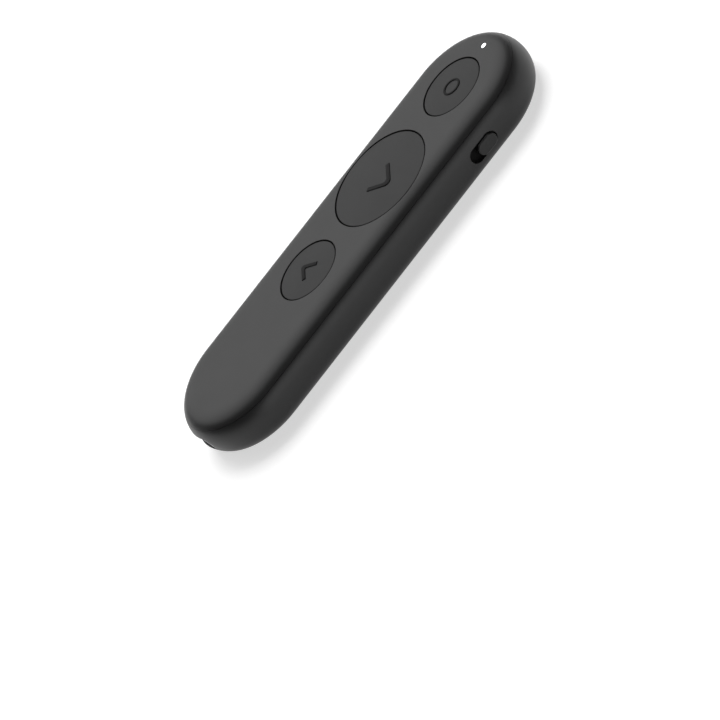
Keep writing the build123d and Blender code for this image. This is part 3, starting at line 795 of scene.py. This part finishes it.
def inner_materials(finish):
    """Finishes of the pieces inside and at the port, by slot. Each row is what finish_material takes: name,
    tone, contrast, roughness, spread, grain, depth and fixed values."""
    fine = 0.1 * MM
    smooth = 0.001 * MM
    dull = 0.002 * MM
    metal = {"Metallic": 1.0}
    matt = {"Specular IOR Level": 0.1}
    rows = {
        "steel": ("plated_steel", finish.steel, 0.05, 0.30, 0.10, fine, 0.0005 * MM, metal),
        "contact_gold": ("gold_flash", finish.gold, 0.05, 0.24, 0.06, fine, 0.0003 * MM, metal),
        # This black also serves as painted shade on the plate of the slider, where the plate lies behind the slot.
        "port_black": ("moulded_black", (0.002, 0.002, 0.002), 0.1, 0.6, 0.06, fine, smooth, matt),
        "board_green": ("solder_mask", finish.mask, 0.18, 0.34, 0.08, 0.4 * MM, 0.003 * MM, {}),
        "chip_black": ("chip_epoxy", (0.010, 0.010, 0.011), 0.15, 0.55, 0.08, fine, dull, {}),
        "ceramic": ("fired_ceramic", (0.42, 0.35, 0.26), 0.12, 0.55, 0.08, fine, dull, {}),
        "cell_pouch": ("pouch_foil", (0.46, 0.47, 0.49), 0.05, 0.36, 0.10, 0.6 * MM, 0.008 * MM, metal),
        "tape_white": ("foam_tape", (0.62, 0.62, 0.59), 0.06, 0.85, 0.06, 0.2 * MM, 0.006 * MM, {}),
        "lead_red": ("lead_red", (0.32, 0.010, 0.008), 0.08, 0.50, 0.06, fine, smooth, {}),
        "lead_black": ("lead_black", (0.010, 0.010, 0.010), 0.10, 0.50, 0.06, fine, smooth, {}),
        "plug_white": ("plug_nylon", (0.66, 0.63, 0.55), 0.05, 0.45, 0.06, fine, smooth, {}),
        "lamp_white": ("lamp_resin", (0.78, 0.70, 0.42), 0.05, 0.30, 0.06, fine, smooth, {}),
    }
    return {slot: finish_material(*row) for slot, row in rows.items()}


ButtonPlace = namedtuple("ButtonPlace", "middle cap flange top bottom")


def button_place(name, sizes):
    """Middle along Y, cap radius, flange radius, top level and lower end of a button, from its solid."""
    low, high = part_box(name + "_button")
    flange = (high.x - low.x) / 2
    cap = flange - sizes.flange_reach - sizes.gap
    return ButtonPlace(low.y + flange, cap, flange, COVER_HIGH.z - sizes.sunk, low.z)


def face_hole(skin, case, middle, radius, round_edge, count, overrun=0.3 * MM, beyond=0.2 * MM):
    """Cutter of a round hole in the front, flared at the face."""
    inner_end = case.thickness - case.cover_wall - overrun
    grow, levels = flared(inner_end, case.thickness, round_edge, beyond)
    skin.solid(round_rings(radius + grow, levels, middle, count))


def hook_blocks(skin, case, grow):
    """Snap hooks along both sides of the lip, or with a growth their recesses in the housing."""
    spine = case.half_length - case.half_width
    lip_outer = case.half_width - case.flank_wall - case.lip_gap
    low = case.lip_bottom + case.hook_rise
    for side in (-1.0, 1.0):
        near, far = sorted((
            side * (lip_outer - case.lip_wall / 2),
            side * (lip_outer + case.hook_reach + grow),
        ))
        for place in HOOK_PLACES:
            y = place * spine
            skin.block(
                (near, y - case.hook_length / 2 - grow, low - grow),
                (far, y + case.hook_length / 2 + grow, low + case.hook_height + grow),
            )


class REMOTE_OT_front_cover(Operator):
    """Makes the front cover: face with button holes, rounded edge, seam groove, lip, keys and hooks."""

    bl_idname = "remote.front_cover"
    bl_label = "Front cover"

    def execute(self, context):
        settings = context.scene.remote_settings
        case = settings.case
        sizes = settings.buttons
        cavity = case.half_width - case.flank_wall
        lip_outer = cavity - case.lip_gap
        lip_inner = lip_outer - case.lip_wall
        ceiling = case.thickness - case.cover_wall
        land = cavity + case.rim_land
        groove_top = case.seam_level + case.seam_groove
        edge, height = edge_curve(case, eased(edge_turn_at(case, groove_top), count=36)[::-1])
        wide = np.concatenate([[lip_inner, lip_inner, lip_outer, lip_outer, land, land], edge])
        levels = np.concatenate([
            [ceiling, case.lip_bottom, case.lip_bottom, case.seam_level, case.seam_level, groove_top],
            case.thickness / 2 + height,
        ])
        skin = Skin()
        skin.solid(bar_rings(case, wide, levels))
        piece = skin.piece("front_cover_skin")
        holes = Skin()
        extra = Skin()
        key_low = case.lip_bottom + case.hook_rise
        key_high = case.thickness - case.cover_wall / 2
        for name in BUTTONS:
            place = button_place(name, sizes)
            radius = place.cap + sizes.gap
            face_hole(holes, case, place.middle, radius, case.hole_round, WIDE_RING)
            key_y = place.middle + radius + sizes.key_radius
            extra.rod(sizes.key_radius, key_low, key_high, key_y, KEY_RING)
        face_hole(holes, case, PIPE_Y, settings.trim.pipe_radius + case.light_gap, case.light_gap, SMALL_RING)
        cut(piece, holes)
        hook_blocks(extra, case, 0.0)
        add_skin(piece, extra)
        dress(piece, "case", "shell_plastic", "front_cover", satin_material(settings.finish, "shell"))
        skin_normals(piece.data, case)
        return {"FINISHED"}


def opening_skin(case, overrun=1.0 * MM):
    """Cutters of the disc pocket in the back, the recesses of the snap hooks and the port opening."""
    skin = Skin()
    pocket_radius = (DISC_HIGH.x - DISC_LOW.x) / 2 + case.disc_gap
    skin.rod(pocket_radius, -overrun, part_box("disc_film")[1].z, DISC_Y, WIDE_RING)
    hook_blocks(skin, case, case.hook_gap)
    half_width = case.port_width / 2 + case.port_gap
    half_height = case.port_height / 2 + case.port_gap
    depths = [-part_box("port_shell")[1].y, case.half_length + overrun]
    skin.solid(facing_back_y(slot_rings([half_width] * 2, [half_height] * 2, depths), PORT_Z))
    return skin


def slider_slot_skin(case, trim, overrun=0.4 * MM, beyond=0.5 * MM):
    """Cutter of the slot through the flank, flared at the outside."""
    inner_end = case.half_width - case.flank_wall - overrun
    grow, depth = flared(inner_end, case.half_width, case.slot_round, beyond)
    skin = Skin()
    rings = slot_rings(trim.slot_length / 2 + grow, trim.slot_height / 2 + grow, depth)
    skin.solid(facing_x(rings, SLOT_Y, SLIDER_Z))
    return skin


def slider_pocket_skin(case, trim, overrun=1.0 * MM):
    """Cutter of the pocket that the plate of the slider moves in, behind the flank."""
    inner_end = case.half_width - case.flank_wall - overrun
    half_length = (SLIDER_HIGH.y - SLIDER_LOW.y) / 2 + SLIDER_TRAVEL / 2 + trim.slider_end_gap
    half_height = (SLIDER_HIGH.z - SLIDER_LOW.z) / 2 + trim.slider_side_gap
    skin = Skin()
    skin.block(
        (inner_end, SLOT_Y - half_length, SLIDER_Z - half_height),
        (case.half_width - trim.slot_wall, SLOT_Y + half_length, SLIDER_Z + half_height),
    )
    return skin


def board_rests(case, root_share=0.75, bore_overrun=0.3 * MM):
    """Screw bosses and posts that the board lies on, rooted in the floor of the housing."""
    skin = Skin()
    root = case.floor_wall * root_share
    board_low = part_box("main_board")[0].z
    screw_low, screw_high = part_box("board_screws")
    cell_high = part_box("cell")[1]
    upper_y = screw_high.y - case.screw_head
    lower_y = screw_low.y + case.screw_head
    lower_side = screw_high.x - case.screw_head
    bore_low = screw_low.z - bore_overrun
    radii = [case.boss_radius, case.boss_radius, case.boss_bore, case.boss_bore]
    levels = [root, board_low, board_low, bore_low]
    for side in (-1.0, 1.0):
        for x, y in ((side * case.boss_side, upper_y), (side * lower_side, lower_y)):
            skin.solid(round_rings(radii, levels, y, POST_RING, x))
        post_x = side * (cell_high.x + case.post_gap + case.post_radius)
        skin.rod(case.post_radius, root, board_low, cell_high.y - case.post_inset, POST_RING, post_x)
    return skin


class REMOTE_OT_rear_housing(Operator):
    """Makes the rear housing: deep tub with the rounded flank, slider slot, port opening and disc pocket."""

    bl_idname = "remote.rear_housing"
    bl_label = "Rear housing"

    def execute(self, context):
        settings = context.scene.remote_settings
        case = settings.case
        trim = settings.trim
        cavity = case.half_width - case.flank_wall
        middle = case.thickness / 2
        lower_edge, lower_height = edge_curve(case, eased(math.pi / 2, count=48))
        upper_turns = np.linspace(math.pi / 2, edge_turn_at(case, case.seam_level), 24)[1:]
        upper_edge, upper_height = edge_curve(case, upper_turns)
        inset, rise = rounding(case.cavity_corner, count=6)
        wide = np.concatenate([lower_edge, upper_edge, [cavity], cavity - inset])
        levels = np.concatenate([
            middle - lower_height,
            middle + upper_height,
            [case.seam_level],
            case.floor_wall + rise,
        ])
        skin = Skin()
        skin.solid(bar_rings(case, wide, levels))
        piece = skin.piece("rear_housing_skin")
        cut(piece, opening_skin(case), slider_slot_skin(case, trim), slider_pocket_skin(case, trim))
        add_skin(piece, board_rests(case))
        dress(piece, "case", "shell_plastic", "rear_housing", satin_material(settings.finish, "shell"))
        skin_normals(piece.data, case)
        return {"FINISHED"}


def rib_steps(sizes, top):
    """Growth and level of the rings of a raised symbol: straight up, then rounded over at its top."""
    inset, short = rounding(sizes.symbol_round, count=4)
    return np.concatenate([[0.0], -inset]), top + np.concatenate([[0.0], sizes.symbol_height - short])


def ring_rib(sizes, place):
    """Rings of a raised ring on a button: outer wall, top and inner wall are turned rings."""
    grow, level = rib_steps(sizes, place.top)
    outer = sizes.ring_radius + sizes.ring_line / 2 + grow
    inner = sizes.ring_radius - sizes.ring_line / 2 - grow
    radii = np.concatenate([outer, inner[::-1]])
    return round_rings(radii, np.concatenate([level, level[::-1]]), place.middle, RIB_RING)


def chevron_rib(sizes, place, name):
    """Rings of a raised chevron on a button: the same outline at each level, moved in at its top."""
    symbol = Chevron(*(getattr(sizes, f"{name}_{field}") for field in Chevron._fields))
    grow, level = rib_steps(sizes, place.top)
    outlines = CHEVRON_SIDES[name] * np.stack([chevron_ring(symbol, step) for step in grow])
    heights = level[:, None] + np.zeros(outlines.shape[1])
    return np.stack([outlines[..., 0], place.middle + outlines[..., 1], heights], -1)


class REMOTE_OT_buttons(Operator):
    """Makes the three round buttons with their flanges, posts and raised symbols."""

    bl_idname = "remote.buttons"
    bl_label = "Buttons"

    def execute(self, context):
        settings = context.scene.remote_settings
        case = settings.case
        sizes = settings.buttons
        flange_top = case.thickness - case.cover_wall - sizes.flange_gap
        flange_low = flange_top - sizes.flange
        inset, short = rounding(sizes.edge_radius, count=8)
        notch_radius = sizes.key_radius + sizes.key_gap
        overrun = 0.2 * MM
        tolerance = 0.001 * MM
        for name in BUTTONS:
            place = button_place(name, sizes)
            inside = place.cap - sizes.wall
            under = place.top - sizes.skin
            radii = np.concatenate([
                [sizes.post_radius, sizes.post_radius, inside, inside, place.flange, place.flange, place.cap],
                place.cap - inset,
            ])
            levels = np.concatenate([
                [place.bottom, under, under, flange_low, flange_low, flange_top, flange_top],
                place.top - short,
            ])
            skin = Skin()
            rings = skin.rings(round_rings(radii, levels, place.middle, WIDE_RING))
            skin.wall(rings)
            skin.lid(rings[0], False)
            chevron = name in CHEVRON_SIDES
            skin.rib(chevron_rib(sizes, place, name) if chevron else ring_rib(sizes, place), rings[-1])
            piece = skin.piece(name + "_button_skin")
            notch = Skin()
            key_y = place.middle + place.cap + sizes.gap + sizes.key_radius
            notch.rod(notch_radius, flange_low - overrun, flange_top + overrun, key_y, KEY_RING)
            cut(piece, notch)
            centres = read(piece.data.polygons, "center", 3)
            second_finish(piece.data, centres[:, 2] > place.top + tolerance)
            finishes = [satin_material(settings.finish, part) for part in ("button", "symbol")]
            dress(piece, name + "_key", "button_plastic", name + "_button", *finishes)
        return {"FINISHED"}


class REMOTE_OT_switch_domes(Operator):
    """Makes the snap domes of the push switches: caps of two balls about one centre."""

    bl_idname = "remote.switch_domes"
    bl_label = "Switch domes"

    def execute(self, context):
        settings = context.scene.remote_settings
        steel = inner_materials(settings.finish)["steel"]
        top_turn = 0.06
        rows = 13
        for name in BUTTONS:
            node = name + "_switch_dome"
            low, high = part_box(node)
            rise = high.z - low.z
            rim = (high.x - low.x) / 2
            outer = (rim ** 2 + rise ** 2) / (2.0 * rise)
            inner = outer - settings.trim.dome_wall
            inside = np.linspace(top_turn, math.acos((outer - rise) / inner), rows)
            outside = np.linspace(math.asin(rim / outer), top_turn, rows)
            radii = np.concatenate([inner * np.sin(inside), outer * np.sin(outside)])
            levels = high.z - outer + np.concatenate([inner * np.cos(inside), outer * np.cos(outside)])
            skin = Skin()
            y = (low.y + high.y) / 2
            skin.solid(round_rings(radii, levels, y, SMALL_RING))
            piece = skin.piece(node + "_skin")
            dress(piece, "case", "steel", node, steel)
            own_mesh(piece)
        return {"FINISHED"}


class REMOTE_OT_power_slider(Operator):
    """Makes the power slider: rounded knob, plate behind the flank and fork for the switch."""

    bl_idname = "remote.power_slider"
    bl_label = "Power slider"

    def execute(self, context):
        settings = context.scene.remote_settings
        case = settings.case
        trim = settings.trim
        half_length = (trim.slot_length - SLIDER_TRAVEL) / 2 - trim.slider_end_gap
        half_height = trim.slot_height / 2 - trim.slider_side_gap
        plate_face = case.half_width - trim.slot_wall - trim.slider_gap
        plate_back = plate_face - trim.slider_flange
        inset, short = rounding(trim.slider_round, count=8)
        inset = np.concatenate([[0.0], inset])
        depth = np.concatenate([[plate_face - trim.slider_flange / 2], SLIDER_HIGH.x - short])
        skin = Skin()
        skin.solid(facing_x(slot_rings(half_length - inset, half_height - inset, depth), SLIDER_Y, SLIDER_Z))
        skin.block((plate_back, SLIDER_LOW.y, SLIDER_LOW.z), (plate_face, SLIDER_HIGH.y, SLIDER_HIGH.z))
        switch_low, switch_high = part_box("slide_switch_actuator")
        level = (switch_low.z + switch_high.z) / 2
        for side in (-1.0, 1.0):
            near, far = sorted((
                SLIDER_Y + side * trim.fork_gap,
                SLIDER_Y + side * (trim.fork_gap + trim.fork_wall),
            ))
            skin.block(
                (SLIDER_LOW.x, near, level - trim.fork_height / 2),
                (plate_back + trim.slider_flange / 2, far, level + trim.fork_height / 2),
            )
        piece = skin.piece("power_slider_skin")
        tolerance = 0.01 * MM
        centres = read(piece.data.polygons, "center", 3)
        # The faces of the plate behind the flank get the dull port black as painted shade: its deeper black stands
        # for the shade inside the slot, not for a colour of the plate.
        second_finish(piece.data, centres[:, 0] < plate_face + tolerance)
        finishes = satin_material(settings.finish, "slider"), inner_materials(settings.finish)["port_black"]
        dress(piece, "slider", "slider_plastic", "power_slider", *finishes)
        return {"FINISHED"}


class REMOTE_OT_light_pipe(Operator):
    """Makes the light pipe of the status light: stem, flange and a softly rounded lit end."""

    bl_idname = "remote.light_pipe"
    bl_label = "Light pipe"

    def execute(self, context):
        settings = context.scene.remote_settings
        trim = settings.trim
        pipe = trim.pipe_radius
        flange = (PIPE_HIGH.x - PIPE_LOW.x) / 2
        flange_top = settings.case.thickness - settings.case.cover_wall
        flange_low = flange_top - trim.pipe_flange
        inset, short = rounding(trim.pipe_round, count=6)
        radii = np.concatenate([[pipe, pipe, flange, flange, pipe], pipe - inset])
        levels = np.concatenate([
            [PIPE_LOW.z, flange_low, flange_low, flange_top, flange_top],
            PIPE_HIGH.z - short,
        ])
        skin = Skin()
        skin.solid(round_rings(radii, levels, PIPE_Y, SMALL_RING))
        piece = skin.piece("light_pipe_skin")
        dress(piece, "case", "pipe_clear", "light_pipe", lit_material(settings.finish))
        return {"FINISHED"}


class REMOTE_OT_back_disc(Operator):
    """Makes the polished disc in the back, with a rounded outer edge."""

    bl_idname = "remote.back_disc"
    bl_label = "Back disc"

    def execute(self, context):
        settings = context.scene.remote_settings
        radius = (DISC_HIGH.x - DISC_LOW.x) / 2
        rise, inset = rounding(settings.trim.disc_round, count=8)
        radii = np.concatenate([radius - inset, [radius]])
        levels = np.concatenate([DISC_LOW.z + rise, [DISC_HIGH.z]])
        skin = Skin()
        skin.solid(round_rings(radii, levels, DISC_Y, WIDE_RING))
        piece = skin.piece("back_disc_skin")
        dress(piece, "case", "disc_gloss", "back_disc", disc_material(settings.finish))
        return {"FINISHED"}


class REMOTE_OT_inner_pieces(Operator):
    """Gives every solid that stays, at the port and inside, smooth shading and the finish of its slot."""

    bl_idname = "remote.inner_pieces"
    bl_label = "Port and inner pieces"

    def execute(self, context):
        materials = inner_materials(context.scene.remote_settings.finish)
        slots = {part["node"]: part["material_slot"] for part in frame["record"]["subparts"]}
        for name, node in frame["nodes"].items():
            if node.hide_render:
                continue
            node.data.materials.clear()
            node.data.materials.append(materials[slots[name]])
            node.modifiers.new("merged_smooth", "NODES").node_group = merged_smooth_group()
        return {"FINISHED"}


def picture_rays(tree):
    """Socket that is 1 for camera, glossy and transmission rays."""
    rays = tree.nodes.new("ShaderNodeLightPath").outputs
    seen = math_node(tree, "MAXIMUM", rays["Is Camera Ray"], rays["Is Glossy Ray"])
    return math_node(tree, "MAXIMUM", seen, rays["Is Transmission Ray"])


def smooth_range(tree, value, low, high, first, second):
    """Smooth step from a first value to a second one between two limits."""
    node = tree.nodes.new("ShaderNodeMapRange")
    node.interpolation_type = "SMOOTHSTEP"
    for title, number in (("From Min", low), ("From Max", high), ("To Min", first), ("To Max", second)):
        node.inputs[title].default_value = number
    tree.links.new(value, node.inputs["Value"])
    return node.outputs["Result"]


def make_floor(stage, reach=20.0, below=0.1 * MM, fade_from=0.15, fade_to=1.2):
    """Wide flat floor just under the remote: matt, with some white added for picture rays, which grows to
    full white away from the remote, and clear from below."""
    skin = Skin()
    corners = np.array([[reach, -reach], [reach, reach], [-reach, reach], [-reach, -reach]])
    ring = skin.rings(np.concatenate([corners, np.full((4, 1), -below)], 1)[None])
    skin.lid(ring[0], True)
    floor = skin.piece("floor")
    material = bpy.data.materials.new("pale_floor")
    material.use_nodes = True
    tree = material.node_tree
    tree.nodes.clear()
    matt = tree.nodes.new("ShaderNodeBsdfDiffuse")
    matt.inputs["Color"].default_value = (stage.floor_shade, stage.floor_shade, stage.floor_shade, 1.0)
    away = tree.nodes.new("ShaderNodeVectorMath")
    away.operation = "LENGTH"
    tree.links.new(tree.nodes.new("ShaderNodeTexCoord").outputs["Object"], away.inputs[0])
    white = smooth_range(tree, away.outputs["Value"], fade_from, fade_to, stage.floor_lift, 1.0)
    glow = tree.nodes.new("ShaderNodeEmission")
    tree.links.new(math_node(tree, "MULTIPLY", white, picture_rays(tree)), glow.inputs["Strength"])
    both = tree.nodes.new("ShaderNodeAddShader")
    tree.links.new(matt.outputs["BSDF"], both.inputs[0])
    tree.links.new(glow.outputs["Emission"], both.inputs[1])
    mix = tree.nodes.new("ShaderNodeMixShader")
    tree.links.new(tree.nodes.new("ShaderNodeNewGeometry").outputs["Backfacing"], mix.inputs["Fac"])
    tree.links.new(both.outputs["Shader"], mix.inputs[1])
    tree.links.new(tree.nodes.new("ShaderNodeBsdfTransparent").outputs["BSDF"], mix.inputs[2])
    end = tree.nodes.new("ShaderNodeOutputMaterial")
    tree.links.new(mix.outputs["Shader"], end.inputs["Surface"])
    floor.data.materials.append(material)


def panel_patch(tree, place, direction, inner, outer, brightness):
    """Round patch of the surroundings about a direction, full within one angle and gone at another."""
    facing = tree.nodes.new("ShaderNodeVectorMath")
    facing.operation = "DOT_PRODUCT"
    facing.inputs[1].default_value = Vector(direction).normalized()
    tree.links.new(place, facing.inputs[0])
    near = math.cos(math.radians(inner))
    far = math.cos(math.radians(outer))
    return smooth_range(tree, facing.outputs["Value"], far, near, 0.0, brightness)


def make_surroundings(stage, white_below=0.06, dark_above=0.14):
    """Dark surroundings with a pale panel over the left flank and one beyond the right flank, and white from
    the horizon down. Each panel is a round patch whose brightness falls off with the angle from its middle.
    Matt surfaces see less of them, and the camera sees plain white."""
    world = bpy.data.worlds.new("surroundings")
    bpy.context.scene.world = world
    world.use_nodes = True
    tree = world.node_tree
    tree.nodes.clear()
    place = tree.nodes.new("ShaderNodeTexCoord").outputs["Generated"]
    left = panel_patch(tree, place, *LEFT_PANEL, stage.left)
    right = panel_patch(tree, place, *RIGHT_PANEL, stage.right)
    axes = tree.nodes.new("ShaderNodeSeparateXYZ")
    tree.links.new(place, axes.inputs["Vector"])
    horizon = smooth_range(tree, axes.outputs["Z"], white_below, dark_above, 1.0, stage.dark)
    seen = math_node(tree, "MAXIMUM", math_node(tree, "MAXIMUM", left, right), horizon)
    level = smooth_range(tree, picture_rays(tree), 0.0, 1.0, stage.air, 1.0)
    camera = tree.nodes.new("ShaderNodeLightPath").outputs["Is Camera Ray"]
    strength = math_node(tree, "MAXIMUM", math_node(tree, "MULTIPLY", seen, level), camera)
    background = tree.nodes.new("ShaderNodeBackground")
    background.inputs["Color"].default_value = (1.0, 1.0, 1.0, 1.0)
    tree.links.new(strength, background.inputs["Strength"])
    end = tree.nodes.new("ShaderNodeOutputWorld")
    tree.links.new(background.outputs["Background"], end.inputs["Surface"])


def make_lamp(stage, direction=(-0.50, 0.25, 0.80), distance=1.0, side=0.7):
    """Large square lamp that looks at the middle of the remote, left out of reflections."""
    towards = Vector(direction).normalized()
    data = bpy.data.lights.new("key_lamp", "AREA")
    data.shape = "RECTANGLE"
    data.size = side
    data.size_y = side
    data.energy = stage.key * math.pi * side * side
    lamp = new_object("key_lamp", data)
    lamp.location = towards * distance
    lamp.rotation_euler = towards.to_track_quat("Z", "Y").to_euler()
    lamp.visible_glossy = False


def make_camera(stage):
    """Camera placed by azimuth, elevation and roll about the point that it looks at."""
    turn, rise, roll = stage.azimuth, stage.elevation, stage.roll
    back = Vector((math.sin(turn) * math.cos(rise), -math.cos(turn) * math.cos(rise), math.sin(rise)))
    level = Vector((math.cos(turn), math.sin(turn), 0.0))
    upright = back.cross(level)
    right = level * math.cos(roll) - upright * math.sin(roll)
    up = upright * math.cos(roll) + level * math.sin(roll)
    data = bpy.data.cameras.new("camera")
    data.sensor_width = 36.0
    data.lens = stage.focal
    camera = new_object("camera", data)
    where = Vector(stage.aim) + back * stage.distance
    rows = [(right[i], up[i], back[i], where[i]) for i in range(3)]
    camera.matrix_world = Matrix((*rows, (0.0, 0.0, 0.0, 1.0)))
    bpy.context.scene.camera = camera


class REMOTE_OT_stage(Operator):
    """Makes the pale floor, the soft lamp, the surroundings and the camera."""

    bl_idname = "remote.stage"
    bl_label = "Stage"

    def execute(self, context):
        stage = context.scene.remote_settings.stage
        make_floor(stage)
        make_surroundings(stage)
        make_lamp(stage)
        make_camera(stage)
        context.scene.view_settings.view_transform = "Standard"
        return {"FINISHED"}


class REMOTE_PT_panel(Panel):
    """Lists the steps that dress the remote."""

    bl_idname = "REMOTE_PT_panel"
    bl_label = "Presenter remote"
    bl_space_type = "VIEW_3D"
    bl_region_type = "UI"
    bl_category = "Remote"

    def draw(self, context):
        column = self.layout.column()
        for step in STEPS:
            column.operator(step.bl_idname)


STEPS = (
    REMOTE_OT_front_cover,
    REMOTE_OT_rear_housing,
    REMOTE_OT_buttons,
    REMOTE_OT_switch_domes,
    REMOTE_OT_power_slider,
    REMOTE_OT_light_pipe,
    REMOTE_OT_back_disc,
    REMOTE_OT_inner_pieces,
    REMOTE_OT_stage,
)
GROUPS = (RemoteCaseSizes, RemoteButtonSizes, RemoteTrimSizes, RemoteFinish, RemoteStage, RemoteSettings)
CLASSES = (*GROUPS, *STEPS, REMOTE_PT_panel)


def register():
    """Registers the settings, the steps and the panel."""
    for item in CLASSES:
        bpy.utils.register_class(item)
    bpy.types.Scene.remote_settings = PointerProperty(type=RemoteSettings)


def unregister():
    """Takes the panel, the steps and the settings away again."""
    del bpy.types.Scene.remote_settings
    for item in reversed(CLASSES):
        bpy.utils.unregister_class(item)


def main():
    """Dresses the remote step by step."""
    register()
    bpy.ops.remote.front_cover()
    bpy.ops.remote.rear_housing()
    bpy.ops.remote.buttons()
    bpy.ops.remote.switch_domes()
    bpy.ops.remote.power_slider()
    bpy.ops.remote.light_pipe()
    bpy.ops.remote.back_disc()
    bpy.ops.remote.inner_pieces()
    bpy.ops.remote.stage()


if __name__ == "__main__":
    main()
